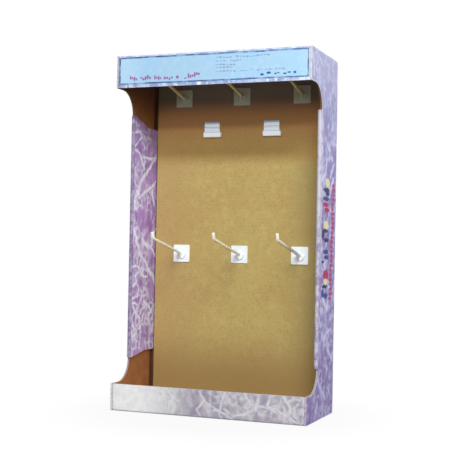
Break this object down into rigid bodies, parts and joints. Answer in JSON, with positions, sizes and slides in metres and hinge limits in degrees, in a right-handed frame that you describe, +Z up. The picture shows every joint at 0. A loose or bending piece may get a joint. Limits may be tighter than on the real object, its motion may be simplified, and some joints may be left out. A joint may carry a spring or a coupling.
{
  "type": "cardboard display stand",
  "caption": "Open-fronted stand of folded printed corrugated board with a header, a front lip, rolled side edges, moulded peg hooks and small card clips.",
  "frame": {"origin": "middle of the footprint, on the surface that the stand stands on", "axes": "+Z up, +Y towards the back, +X to the right seen from the front"},
  "size_m": [0.356, 0.1624, 0.62],
  "materials": {
    "printed_board": "satin litho print over kraft",
    "kraft_board": "matte unbleached kraft",
    "label_card": "satin printed card",
    "hook_plastic": "moulded white",
    "clip_plastic": "milky, glossy"
  },
  "bodies": {
    "root": {"casing": "printed_board", "header_label": "label_card", "hook_panel": "kraft_board", "hook_upper_left": "hook_plastic", "hook_upper_middle": "hook_plastic", "hook_upper_right": "hook_plastic", "hook_lower_left": "hook_plastic", "hook_lower_middle": "hook_plastic", "hook_lower_right": "hook_plastic", "clip_left": "clip_plastic", "clip_right": "clip_plastic"}
  },
  "joints": []
}
